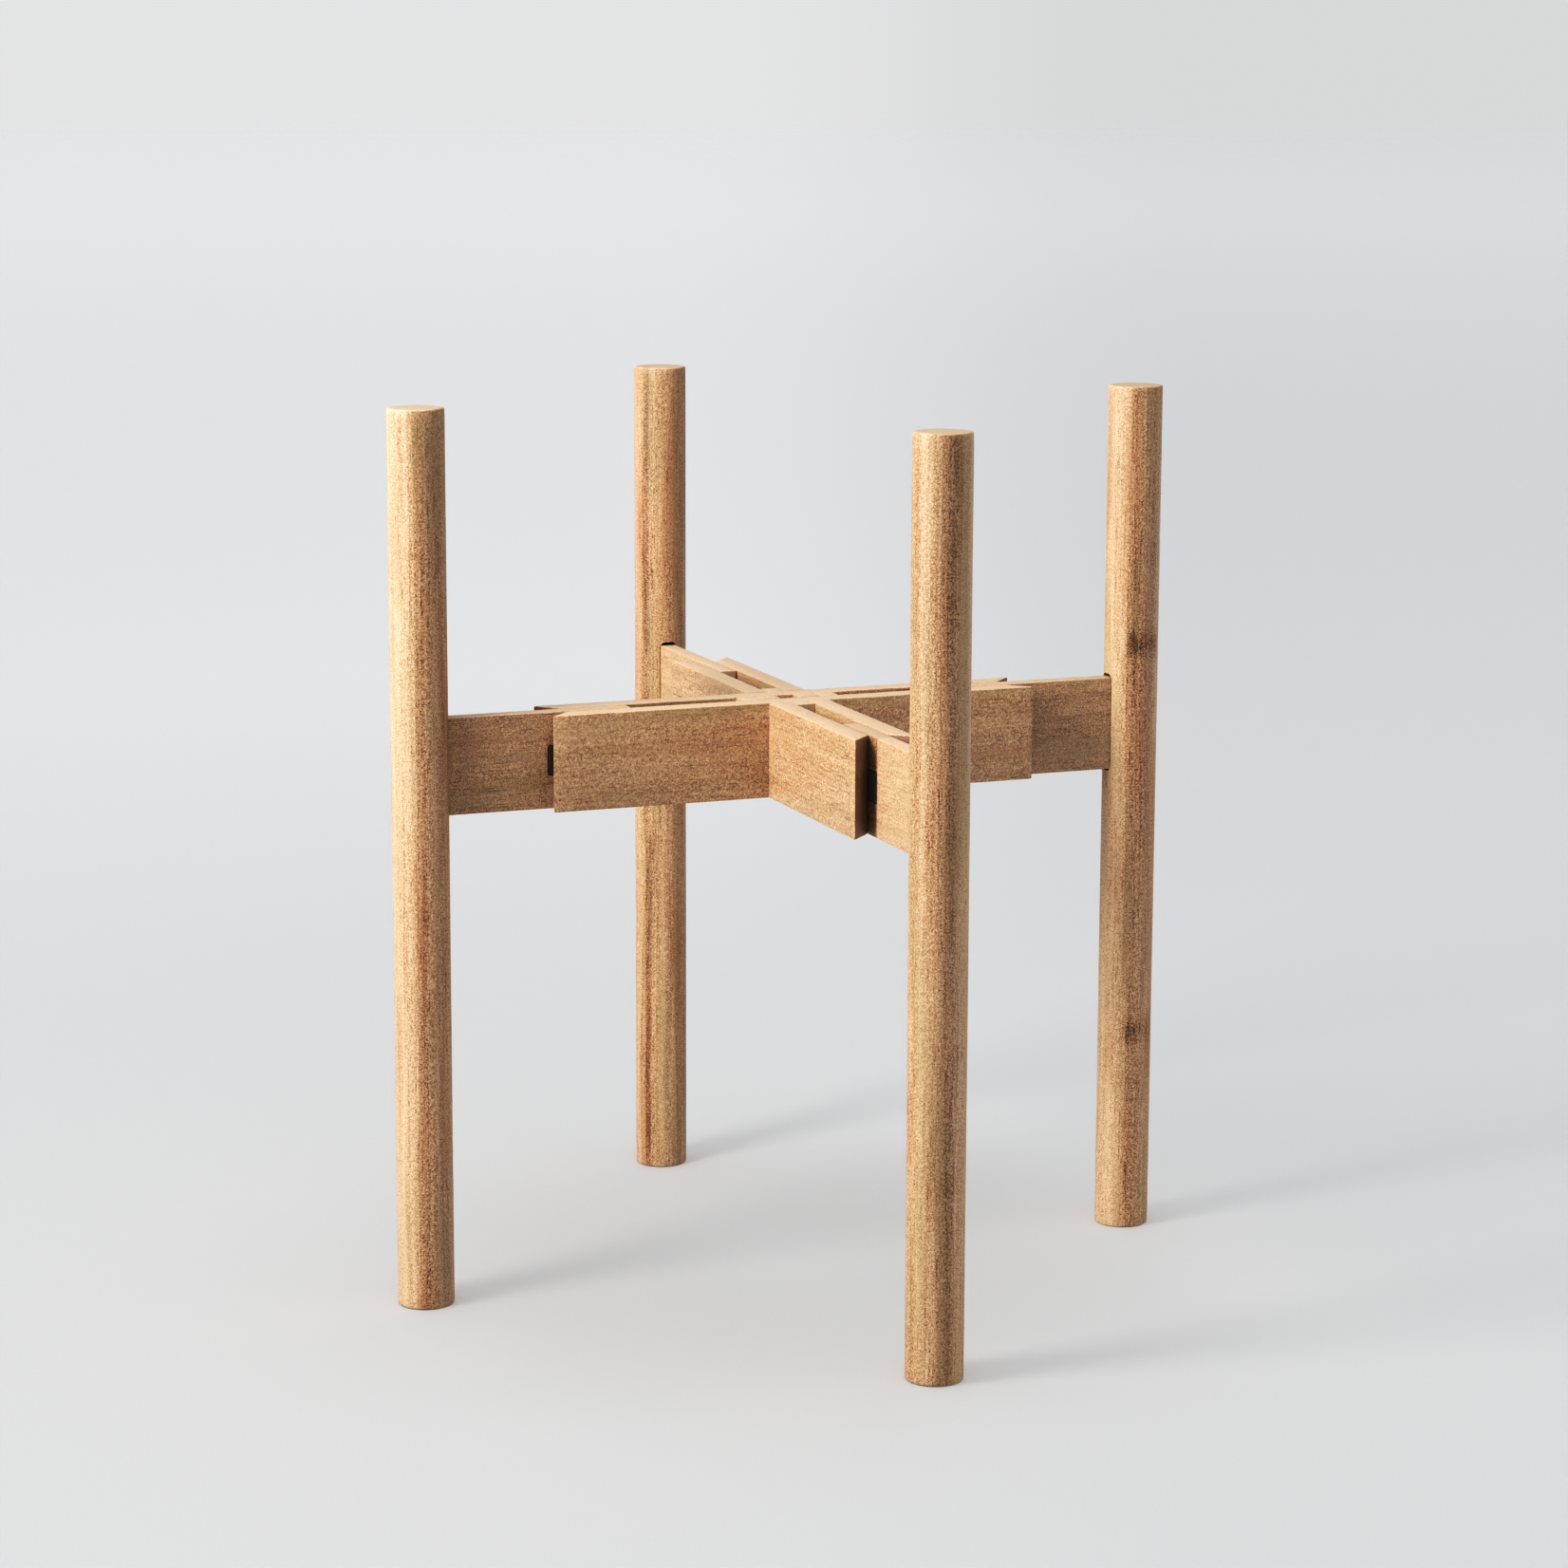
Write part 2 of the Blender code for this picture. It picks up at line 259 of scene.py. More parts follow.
def make_leg(side, angle, seed):
    """A turned dowel with rounded rims, slightly uneven from sanding, and a mortise on local -X."""
    bm = bmesh.new()
    loops = []
    for radius, height in leg_profile():
        loop = []
        for k in range(LEG_SIDES):
            turn = math.tau * k / LEG_SIDES
            loop.append(bm.verts.new((radius * math.cos(turn), radius * math.sin(turn), height)))
        loops.append(loop)
    for lower, upper in zip(loops, loops[1:]):
        for k in range(LEG_SIDES):
            after = (k + 1) % LEG_SIDES
            bm.faces.new((lower[k], lower[after], upper[after], upper[k]))
    bm.faces.new(list(reversed(loops[0])))
    bm.faces.new(loops[-1])
    turn_to_side = Matrix.Rotation(math.radians(angle), 4, "Z")
    place = turn_to_side @ Matrix.Translation((leg_reach, 0, leg_low.z))
    leg = new_object(f"leg_{side}_wood", bm, place)
    mortise_low = (-leg_radius - CUT_THROUGH, -arm_half_thickness - RUNNING_GAP)
    mortise_high = (arm_high.x - leg_reach + RUNNING_GAP, arm_half_thickness + RUNNING_GAP)
    middle = beam_middle - leg_low.z
    mortise = box_mesh(
        (*mortise_low, middle - beam_half - MORTISE_BELOW),
        (*mortise_high, middle + beam_half + MORTISE_ABOVE),
        round_along=0,
        radius=MORTISE_ROUND,
    )
    cut(leg, mortise)
    for vertex in leg.data.vertices:
        spot = vertex.co
        radius = math.hypot(spot.x, spot.y)
        on_the_round = radius > leg_radius * 0.97
        if on_the_round:
            inward = sanded_away(spot, SWELL_DEPTH, 40, 9, seed * 5)
            inward += sanded_away(spot, RIPPLE_DEPTH, 130, 26, -seed)
            spot.x *= 1 - inward / radius
            spot.y *= 1 - inward / radius

    def rim(spot):
        """The leg's two rims, without the faces inside them and the mortise."""
        if math.hypot(spot.x, spot.y) < leg_radius * 0.9:
            return 0.0
        from_end = min(spot.z, leg_height - spot.z)
        return max(0.0, 1 - from_end / RIM_WEAR_REACH)

    sand(leg, RIM_WEAR, seed, rim)
    return leg


def bar_between(name, start, end, half, angle, **shape):
    """A board with square ends, from start to end along its own X and half to each side."""
    outline = [(start, -half), (end, -half), (end, half), (start, half)]
    return board(name, outline, angle, **shape)


def make_arm(side, angle, seed):
    """A planed bar with a felt pocket in each face and a hole for the stop pin."""
    half = arm_half_thickness
    arm = bar_between(f"arm_{side}_wood", arm_low.x, arm_high.x, half, angle)
    pocket_floor = felt_low.y - RUNNING_GAP
    gap = RUNNING_GAP / 2
    for direction in (1, -1):
        depth = sorted((direction * pocket_floor, direction * (half + CUT_THROUGH)))
        pocket = box_mesh(
            (felt_low.x - gap, depth[0], felt_low.z - beam_middle - gap),
            (felt_high.x + gap, depth[1], felt_high.z - beam_middle + gap),
            round_along=1,
            radius=POCKET_ROUND,
        )
        cut(arm, pocket)
    pin_place = Matrix.Translation((pin_reach, 0, pin_drop))
    pin_hole = bmesh.new()
    bmesh.ops.create_cone(
        pin_hole,
        cap_ends=True,
        segments=PIN_HOLE_SIDES,
        radius1=pin_radius + RUNNING_GAP,
        radius2=pin_radius + RUNNING_GAP,
        depth=4 * half + 2 * CUT_THROUGH,
        matrix=pin_place @ Matrix.Rotation(math.radians(90), 4, "X"),
    )
    cut(arm, pin_hole)
    low = (arm_low.x, -half, -beam_half)
    high = (arm_high.x, half, beam_half)
    sand(arm, BOARD_WEAR, seed, lambda spot: box_edge_nearness(spot, low, high, BOARD_WEAR_REACH))
    return arm


def make_plate(name, angle, laps_open_down, seed):
    """A hub plate: ends cut back at 45 degrees, two half-laps and two stopped grooves inside."""
    inner_half_length = plate_half_length - (plate_outer - slot_half)
    outline = [
        (-inner_half_length, slot_half),
        (inner_half_length, slot_half),
        (plate_half_length, plate_outer),
        (-plate_half_length, plate_outer),
    ]
    plate = board(f"hub_plate_{name}_wood", outline, angle)
    if laps_open_down:
        lap_heights = (-beam_half - CUT_THROUGH, JOINT_GAP / 2)
    else:
        lap_heights = (-JOINT_GAP / 2, beam_half + CUT_THROUGH)
    groove_half = pin_radius + RUNNING_GAP
    groove_round = groove_half * 0.98  # a little short of a half circle, to keep its end faces
    for direction in (1, -1):
        across = sorted(
            (direction * (slot_half - JOINT_GAP), direction * (plate_outer + JOINT_GAP))
        )
        half_lap = box_mesh(
            (across[0], slot_half - CUT_THROUGH, lap_heights[0]),
            (across[1], plate_outer + CUT_THROUGH, lap_heights[1]),
        )
        cut(plate, half_lap)
        along = sorted(
            (direction * (pin_reach - travel - groove_half), direction * (pin_reach + groove_half))
        )
        groove = box_mesh(
            (along[0], slot_half - CUT_THROUGH, pin_drop - groove_half),
            (along[1], pin_high.y + RUNNING_GAP, pin_drop + groove_half),
            round_along=1,
            radius=groove_round,
        )
        cut(plate, groove)

    def edge(spot):
        """The board's own edges, with its slanted ends counted as faces."""
        from_slant = (inner_half_length + (spot.y - slot_half) - abs(spot.x)) / math.sqrt(2)
        from_side = min(spot.y - slot_half, plate_outer - spot.y)
        return edge_nearness((from_slant, from_side, beam_half - abs(spot.z)), BOARD_WEAR_REACH)

    sand(plate, BOARD_WEAR, seed, edge)
    return plate


def make_spacer(side, angle, seed):
    """The block that closes the slot beside the crossing."""
    start = plate_outer + JOINT_GAP
    end = spacer_high.x
    half = slot_half - JOINT_GAP
    spacer = bar_between(
        f"spacer_{side}_wood", start, end, half, angle, radius=SPACER_ROUND, step=SPACER_STEP
    )
    low = (start, -half, -beam_half)
    high = (end, half, beam_half)
    sand(spacer, SPACER_WEAR, seed, lambda spot: box_edge_nearness(spot, low, high, SPACER_WEAR_REACH))
    return spacer


def make_felt(node, seed):
    """A pressed felt strip: soft rounded edges and a slightly napped face."""
    low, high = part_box(node)
    middle = (low + high) / 2
    size = high - low
    bm = box_mesh(low - middle, high - middle)
    edges = bm.edges[:]
    bmesh.ops.bevel(bm, geom=edges, offset=FELT_ROUND, segments=3, profile=0.5, affect="EDGES")
    long_axis = 0 if size.x > size.y else 1
    for axis, count in zip((long_axis, 2), FELT_STEPS):
        direction = Vector((0, 0, 0))
        direction[axis] = 1
        for i in range(1, count):
            add_loop(bm, direction * size[axis] * (i / count - 0.5), direction)
    bm.normal_update()
    for vertex in bm.verts:
        nap = (1 + noise.noise((vertex.co + middle) * 900 + Vector((seed, 0, 0)))) / 2
        vertex.co -= vertex.normal * FELT_NAP * nap
    strip = new_object(node + "_pad", bm, Matrix.Translation(middle))
    strip.data.shade_smooth()
    return strip


# ---- Materials --------------------------------------------------------------------------------


class Graph:
    """A node tree being built for a material or world. A value handed to it is a number, a tuple or
    another node's output."""

    def __init__(self, owner):
        owner.use_nodes = True
        self.owner = owner
        self.nodes = owner.node_tree.nodes
        self.links = owner.node_tree.links
        self.nodes.clear()

    def node(self, kind, inputs, **settings):
        made = self.nodes.new("ShaderNode" + kind)
        for key, value in settings.items():
            setattr(made, key, value)
        for key, value in inputs.items():
            if isinstance(value, bpy.types.NodeSocket):
                self.links.new(value, made.inputs[key])
            else:
                made.inputs[key].default_value = value
        return made

    def math(self, operation, *values):
        return self.node("Math", dict(enumerate(values)), operation=operation).outputs[0]

    def vector(self, operation, *values):
        return self.node("VectorMath", dict(enumerate(values)), operation=operation).outputs[0]

    def turned(self, value, degrees):
        """A vector turned about Z."""
        inputs = {"Vector": value, "Angle": math.radians(degrees)}
        return self.node("VectorRotate", inputs, rotation_type="Z_AXIS").outputs[0]

    def split(self, value):
        return self.node("SeparateXYZ", {"Vector": value}).outputs

    def noise(self, place, scales, detail=2.0, roughness=0.5, output="Fac"):
        """Noise with its own scale, per metre, along each axis."""
        inputs = {
            "Vector": self.vector("MULTIPLY", place, scales),
            "Scale": 1.0,
            "Detail": detail,
            "Roughness": roughness,
        }
        return self.node("TexNoise", inputs).outputs[output]

    def ease(self, value, low, high, to_low=0.0, to_high=1.0):
        """value's smooth passage from low to high, as to_low to to_high."""
        inputs = {0: value, 1: low, 2: high, 3: to_low, 4: to_high}
        return self.node("MapRange", inputs, interpolation_type="SMOOTHSTEP").outputs[0]

    def shift(self, start, amount, value, middle=0.5):
        """start plus amount times how far value is above its middle."""
        return self.math("MULTIPLY_ADD", self.math("SUBTRACT", value, middle), amount, start)

    def distance(self, a, b):
        """How far apart two numbers are."""
        return self.math("ABSOLUTE", self.math("SUBTRACT", a, b))

    def mix(self, factor, a, b):
        return self.node("Mix", {0: factor, 6: a, 7: b}, data_type="RGBA").outputs[2]

    def ramp(self, value, stops, interpolation):
        """value's colour on a ramp of (position, colour) stops, of which the first is at 0."""
        made = self.node("ValToRGB", {0: value})
        made.color_ramp.interpolation = interpolation
        elements = made.color_ramp.elements
        elements.remove(elements[-1])
        for position, shade in stops[1:]:
            elements.new(position)
        for element, (position, shade) in zip(elements, stops):
            element.position = position
            element.color = shade
        return made.outputs[0]

    def side_fade(self, sight, depth):
        """Rises to 1 on the right of the main view, and up to depth ahead of its viewpoint, for a
        vector from there."""
        turned = self.split(self.turned(sight, VIEW_HEADING))
        ahead = turned[1]
        slope = self.math("DIVIDE", turned[0], self.math("MAXIMUM", ahead, 0.1))
        return self.math("MULTIPLY", self.ease(slope, *SIDE_FADE), self.ease(ahead, 0.0, depth))

    def finish(self, inputs, height, bump_distance, vanish=None):
        """Ends the graph in a principled shader, which turns clear where vanish rises to 1."""
        shader = self.node("BsdfPrincipled", inputs)
        bump = self.node("Bump", {"Strength": 1.0, "Distance": bump_distance, "Height": height})
        self.links.new(bump.outputs[0], shader.inputs["Normal"])
        if vanish is not None:
            clear = self.node("BsdfTransparent", {})
            inputs = {0: vanish, 1: shader.outputs[0], 2: clear.outputs[0]}
            shader = self.node("MixShader", inputs)
        self.node("OutputMaterial", {"Surface": shader.outputs[0]})
        return self.owner


def colour(red, green, blue):
    return (red, green, blue, 1.0)


def grey(tone):
    return colour(tone, tone, tone)


# The wood's own scale of tones, from its palest fibres to its darkest marks, as linear colours
TONES = (
    (0.00, colour(0.640, 0.475, 0.325)),
    (0.30, colour(0.500, 0.338, 0.222)),
    (0.55, colour(0.385, 0.235, 0.132)),
    (0.80, colour(0.235, 0.128, 0.068)),
    (1.00, colour(0.095, 0.048, 0.028)),
)
RUSSET = colour(0.360, 0.170, 0.085)
OLIVE = colour(0.300, 0.235, 0.125)
# A painted sheen: the pale tone that upward faces lean towards
TOP_SHEEN = colour(0.620, 0.500, 0.390)
END_GRAIN = colour(0.480, 0.375, 0.275)
# Dark end-grain pores, and also the painted shade on faces cut slantwise
PORE_AND_CUT_SHADE = colour(0.150, 0.080, 0.048)


class Wood(Graph):
    """The graph of one piece's wood. along is the axis of the grain in the piece's own coordinates,
    and turn rotates the wood about it, in degrees. u and w are a point's place across and along the
    grain, and the other fields are noises, most of them drawn out along it."""

    def __init__(self, name, seed, along, turn):
        super().__init__(bpy.data.materials.new(name))
        draw = random.Random(seed)
        coordinates = self.node("TexCoord", {})
        self.local = coordinates.outputs["Object"]
        normal = self.split(coordinates.outputs["Normal"])
        self.upward = normal[2]
        if along == "X":
            x, y, z = self.split(self.local)
            across = self.node("CombineXYZ", {"X": z, "Y": y, "Z": x}).outputs[0]
            self.facing = self.math("ABSOLUTE", normal[0])
        else:
            across = self.turned(self.local, turn)
            self.facing = self.math("ABSOLUTE", normal[2])
        start = tuple(draw.uniform(0, 9) for axis in range(3))

        # The grain wanders a little to and fro
        sway_scales = (30.0, 30.0, 11.0)
        sway_start = tuple(offset / scale for offset, scale in zip(start, sway_scales))
        sway = self.noise(self.vector("ADD", across, sway_start), sway_scales, 1.0, output="Color")
        sway = self.vector("SUBTRACT", sway, (0.5, 0.5, 0.5))
        grain = self.vector("ADD", across, self.vector("MULTIPLY", sway, (3 * MM, 3 * MM, 0.0)))
        self.place = self.vector("ADD", grain, start)
        self.u = self.split(grain)[0]
        self.w = self.split(grain)[2]

        self.cloud = self.fibres(75.0, 9.0)
        self.streak = self.fibres(300.0, 5.0, detail=3.0, roughness=0.55)
        self.line = self.fibres(1000.0, 14.0)
        self.fibre = self.fibres(2600.0, 60.0, detail=1.0)
        self.dash = self.fibres(1700.0, 85.0, detail=1.0)
        self.speck = self.noise(self.local, (1650.0, 1650.0, 1650.0), detail=1.0)

    def fibres(self, scale_across, scale_along, detail=2.0, roughness=0.5):
        return self.noise(self.place, (scale_across, scale_across, scale_along), detail, roughness)


def grain_tone(g, strips, strength):
    """The tone of each glued strip across the wood, with the grain's lights and darks; on the legs
    the strip tones also hold painted light and shade.
    """
    share = g.math("ADD", g.math("DIVIDE", g.u, 2 * leg_radius), 0.5)
    stops = [(position, grey(tone)) for position, tone in strips]
    tone = g.split(g.ramp(share, stops, "CONSTANT"))[0]
    tone = g.shift(tone, 0.36 * strength, g.cloud)
    tone = g.shift(tone, 0.60 * strength, g.streak)
    tone = g.shift(tone, 0.45 * strength, g.line)
    tone = g.shift(tone, 0.30, g.fibre)
    tone = g.shift(tone, 1.85, g.speck)
    return g.shift(tone, 0.26, g.ease(g.dash, 0.62, 0.72), 0.05)


def add_figure(g, tone, centre, half_width, strength):
    """A dark wavy streak along the grain that swells and fades."""
    wander = g.shift(centre, 5 * MM, g.cloud)
    beside = g.shift(g.distance(g.u, wander), 4 * half_width, g.streak)
    band = g.ease(beside, 0.2 * half_width, 1.3 * half_width, strength, 0.0)
    swell = g.fibres(45.0, 16.0, detail=1.0)
    return g.math("ADD", tone, g.math("MULTIPLY", band, g.ease(swell, 0.30, 0.62, 0.25, 1.0)))


def add_knuckle(g, tone, height, centre, half_width, strength):
    """The mark of a side shoot: a thin ring across the grain, in a stain that reaches below it."""
    rise = g.math("SUBTRACT", g.w, g.shift(height, 7 * MM, g.streak))
    ring = g.ease(g.math("ABSOLUTE", rise), 0.25 * MM, 1.1 * MM, 0.6 * strength, 0.0)
    below = g.math("ABSOLUTE", g.math("ADD", rise, 2 * MM))
    stain = g.ease(below, 0.0, 9 * MM, 0.75 * strength, 0.0)
    stain = g.math("MULTIPLY", stain, g.ease(g.line, 0.25, 0.65, 0.4, 1.0))
    beside = g.ease(g.distance(g.u, centre), 0.7 * half_width, half_width, 1.0, 0.0)
    mark = g.math("MULTIPLY", g.math("MAXIMUM", ring, stain), beside)
    return g.math("ADD", tone, mark)


def tone_colour(g, tone, tint):
    """The colour of a tone, in places redder or greener. tint leans it to russet above 0 and to
    olive below."""
    base = g.ramp(tone, TONES, "LINEAR")
    hue = g.fibres(110.0, 12.0, detail=1.0)
    russet = g.ease(hue, 0.5 - 0.4 * max(tint, 0), 0.8, 0.0, 0.35 + 0.5 * tint)
    base = g.mix(russet, base, RUSSET)
    olive = g.ease(hue, 0.25, 0.5 + 0.4 * max(-tint, 0), 0.35, 0.0)
    return g.mix(olive, base, OLIVE)


def dress_faces(g, base, end, painted_top_sheen, slant_cut_shade):
    """A painted sheen on the top, the open grain of sawn ends, painted shade on slanting cuts, and
    pale worn edges that also paint a highlight along them.
    """
    # A painted sheen pales the upward faces.
    if painted_top_sheen:
        base = g.mix(g.ease(g.upward, 0.8, 0.97, 0.0, painted_top_sheen), base, TOP_SHEEN)
    pores = g.noise(g.local, (700.0, 700.0, 700.0), detail=3.0, roughness=0.7)
    end_tone = g.mix(g.ease(pores, 0.3, 0.75), END_GRAIN, PORE_AND_CUT_SHADE)
    end_tone = g.mix(0.75, end_tone, END_GRAIN)
    base = g.mix(g.math("MULTIPLY", end, 0.9), base, end_tone)
    # Painted shade on faces cut slantwise, such as the plates' V ends and the sides of rounded cuts.
    if slant_cut_shade:
        slant = g.math("MULTIPLY", g.ease(g.facing, 0.45, 0.65), g.ease(g.facing, 0.8, 0.95, 1.0, 0.0))
        base = g.mix(g.math("MULTIPLY", slant, slant_cut_shade), base, PORE_AND_CUT_SHADE)
    # Pale worn edges, which also paint a highlight along them.
    settings = {"attribute_name": "edge_mark", "attribute_type": "GEOMETRY"}
    edge = g.node("Attribute", {}, **settings).outputs["Fac"]
    worn_and_highlight = g.math("MULTIPLY", edge, g.ease(g.cloud, 0.35, 0.65, 0.10, 0.40))
    return g.mix(worn_and_highlight, base, TONES[0][1])


def wood(name, seed, along, strips, turn=0.0, figure=(), marks=(), tint=0.0, grain_strength=1.0,
         painted_top_sheen=0.0, slant_cut_shade=0.0, painted_shade_to=None):
    """Oiled hardwood. strips are the glued strips across a leg's width: where each starts, as a
    share of the width, and its tone, 0 pale to 1 dark; on the legs these tones also hold painted
    light and shade. figure holds dark wavy streaks (place across in metres, half width, strength),
    and marks the knuckles left by side shoots (height, place across, half width, strength).
    painted_top_sheen pales upward faces as a painted sheen, slant_cut_shade darkens faces cut
    slantwise as painted shade, and painted_shade_to is where along the piece a painted shade from its
    inner end stops."""
    g = Wood(name, seed, along, turn)
    tone = grain_tone(g, strips, grain_strength)
    for centre, half_width, strength in figure:
        tone = add_figure(g, tone, centre, half_width, strength)
    for height, centre, half_width, strength in marks:
        tone = add_knuckle(g, tone, height, centre, half_width, strength)
    if painted_shade_to is not None:
        # Painted shade: the arm darkens from its inner end up to where it leaves the slot.
        tone = g.math("ADD", tone, g.ease(g.w, painted_shade_to - 1.5 * MM, painted_shade_to, 0.34, 0.0))
    base = tone_colour(g, tone, tint)
    end = g.ease(g.facing, 0.85, 0.98)
    base = dress_faces(g, base, end, painted_top_sheen, slant_cut_shade)
    roughness = g.math("MULTIPLY_ADD", g.fibre, 0.18, 0.38)
    roughness = g.math("MULTIPLY_ADD", end, 0.2, roughness)
    height = g.math("SUBTRACT", g.math("MULTIPLY", g.fibre, 0.5), g.ease(g.dash, 0.55, 0.75))
    height = g.math("MULTIPLY_ADD", g.speck, 0.35, height)
    inputs = {"Base Color": base, "Roughness": roughness, "Specular IOR Level": 0.45}
    return g.finish(inputs, height=height, bump_distance=0.05 * MM)


def felt_material(name):
    """Dark brown pressed felt with pale fluff."""
    g = Graph(bpy.data.materials.new(name))
    local = g.node("TexCoord", {}).outputs["Object"]
    fluff = g.noise(local, (2600.0, 2600.0, 2600.0), detail=3.0, roughness=0.7)
    cloud = g.noise(local, (260.0, 260.0, 260.0))
    base = g.mix(g.ease(fluff, 0.35, 0.7), colour(0.026, 0.013, 0.006), colour(0.075, 0.038, 0.018))
    base = g.mix(g.ease(cloud, 0.3, 0.7, 0.0, 0.3), base, colour(0.035, 0.018, 0.012))
    inputs = {"Base Color": base, "Roughness": 0.95, "Sheen Weight": 0.15, "Sheen Roughness": 0.6}
    return g.finish(inputs, height=fluff, bump_distance=0.15 * MM)


def paper_tone(tone):
    """A grey with the faintest touch of blue."""
    return colour(tone, tone, tone + 0.001)


def paper_material(name):
    """The studio floor's matt paper, with painted shade near the stand and a painted fall of light to
    the right: it pales away from the stand, and more so on the left.
    """
    g = Graph(bpy.data.materials.new(name))
    local = g.node("TexCoord", {}).outputs["Object"]
    tooth = g.noise(local, (900.0, 900.0, 900.0))
    away = g.node("VectorMath", {0: local}, operation="LENGTH").outputs["Value"]
    # A painted fall of light: the paper darkens to the right.
    fade = g.side_fade(g.vector("SUBTRACT", local, VIEWER), 1.3)
    middle = g.mix(fade, paper_tone(PAPER_MIDDLE[0]), paper_tone(PAPER_MIDDLE[1]))
    far = g.mix(fade, paper_tone(PAPER_FAR[0]), paper_tone(PAPER_FAR[1]))
    # Painted shade: the paper darkens near the stand.
    base = g.mix(g.ease(away, 0.10, 1.75), paper_tone(PAPER_SHADED_NEAR), middle)
    base = g.mix(g.ease(away, 0.5, 12.0), base, far)
    base = g.mix(g.ease(tooth, 0.3, 0.7, 0.0, 0.03), base, grey(0.3))
    inputs = {"Base Color": base, "Roughness": 0.95}
    vanish = g.ease(away, 7.0, 32.0)
    return g.finish(inputs, height=tooth, bump_distance=0.02 * MM, vanish=vanish)


# ---- Assembly ---------------------------------------------------------------------------------


def dress(piece, material, body, node):
    piece.data.materials.clear()
    piece.data.materials.append(material)
    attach(piece, body)
    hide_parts(node)


# The wood of each leg, with its strips and places across it from left to right in the main view.
# Besides the strips' own tones, these hold painted light and shade for that view: each leg is
# painted darker across its middle and paler towards its edges.
LEG_WOOD_AND_SHADE = {
    "left": {
        "strips": ((0.0, 0.14), (0.21, 0.24), (0.38, 0.35), (0.46, 0.50), (0.63, 0.36)),
        "marks": ((172 * MM, 1.5 * MM, 3 * MM, 0.26),),
        "tint": -0.1,
    },
    "rear": {
        "strips": ((0.0, 0.25), (0.11, 0.42), (0.19, 0.52), (0.30, 0.43), (0.38, 0.34)),
        "figure": (
            (-6.0 * MM, 1.8 * MM, 0.32),
            (-1.5 * MM, 1.0 * MM, 0.14),
            (4.0 * MM, 1.2 * MM, 0.12),
        ),
        "marks": ((285 * MM, -3.9 * MM, 1.7 * MM, 0.36), (158 * MM, -3.9 * MM, 1.7 * MM, 0.36)),
        "tint": 0.35,
    },
    "front": {
        "strips": ((0.0, 0.34), (0.21, 0.34), (0.46, 0.46), (0.58, 0.50), (0.72, 0.38), (0.80, 0.20)),
        "figure": ((-10.2 * MM, 1.0 * MM, 0.16), (3.2 * MM, 2.0 * MM, 0.10)),
        "marks": ((84 * MM, 4 * MM, 5 * MM, 0.26),),
        "tint": -0.45,
    },
    "right": {
        "strips": ((0.0, 0.20), (0.30, 0.34), (0.39, 0.47), (0.47, 0.54), (0.63, 0.46), (0.71, 0.30)),
        "marks": ((268 * MM, 4.5 * MM, 7.5 * MM, 0.50), (93 * MM, 4.0 * MM, 8 * MM, 0.50)),
        "tint": 0.1,
    },
}
# Each arm's tone holds painted light and shade: the rear and front arms, seen on their lit faces, are
# painted paler, and the left and right ones, seen on their shaded faces, darker.
ARM_LIGHT_AND_SHADE_TONE = {"left": 0.57, "rear": 0.38, "front": 0.34, "right": 0.55}
# The beams' grain runs along X, and their upward faces get a painted sheen.
BEAM_FINISH = {"along": "X", "grain_strength": 0.6, "painted_top_sheen": 0.45}


def plain_strips(tone):
    """Wood of one tone right across."""
    return ((0.0, tone),)


def add_side(index, side, angle):
    """A side's leg and arm, the hub's spacer beside them, and the material of the arm's stop pin."""
    body = side + "_leg_and_arm"
    leg = make_leg(side, angle, seed=index + 1)
    turn = VIEW_HEADING + angle
    # the leg's strip tones also hold painted light and shade
    leg_wood = wood(f"leg_{side}_wood", seed=11 + index, along="Z", turn=turn, **LEG_WOOD_AND_SHADE[side])
    dress(leg, leg_wood, body, "leg_" + side)
    arm = make_arm(side, angle, seed=index + 5)
    arm_wood = wood(
        f"arm_{side}_wood",
        seed=21 + index,
        # painted light and shade in the arm's tone
        strips=plain_strips(ARM_LIGHT_AND_SHADE_TONE[side]),
        # painted shade on faces cut slantwise
        slant_cut_shade=0.7,
        # painted shade on the front arm where it leaves the hub
        painted_shade_to=plate_half_length if side == "front" else None,
        **BEAM_FINISH,
    )
    dress(arm, arm_wood, body, "arm_" + side)
    spacer = make_spacer(side, angle, seed=index + 9)
    spacer_wood = wood(
        f"spacer_{side}_wood", seed=31 + index, strips=plain_strips(0.42), **BEAM_FINISH
    )
    dress(spacer, spacer_wood, "hub", "spacer_" + side)
    pin_wood = wood(
        f"stop_pin_{side}_wood", seed=41 + index, along="X", strips=plain_strips(0.22)
    )
    pin = frame["nodes"]["stop_pin_" + side]
    pin.data.materials.clear()
    pin.data.materials.append(pin_wood)


def add_plate(index, name, angle, laps_open_down):
    plate = make_plate(name, angle, laps_open_down, seed=index + 13)
    plate_wood = wood(
        f"hub_plate_{name}_wood",
        seed=51 + index,
        strips=plain_strips(0.47),
        # painted shade on faces cut slantwise
        slant_cut_shade=0.8,
        **BEAM_FINISH,
    )
    dress(plate, plate_wood, "hub", "hub_plate_" + name)


for index, (side, angle) in enumerate(SIDES):
    add_side(index, side, angle)

for index, (name, angle, laps_open_down) in enumerate(PLATES):
    add_plate(index, name, angle, laps_open_down)

felt = felt_material("brown_felt")
felt_nodes = sorted(name for name in frame["nodes"] if name.startswith("felt_strip_"))
for index, node in enumerate(felt_nodes):
    side = node.split("_")[2]
    strip = make_felt(node, seed=index)
    dress(strip, felt, side + "_leg_and_arm", node)


# ---- Studio -----------------------------------------------------------------------------------

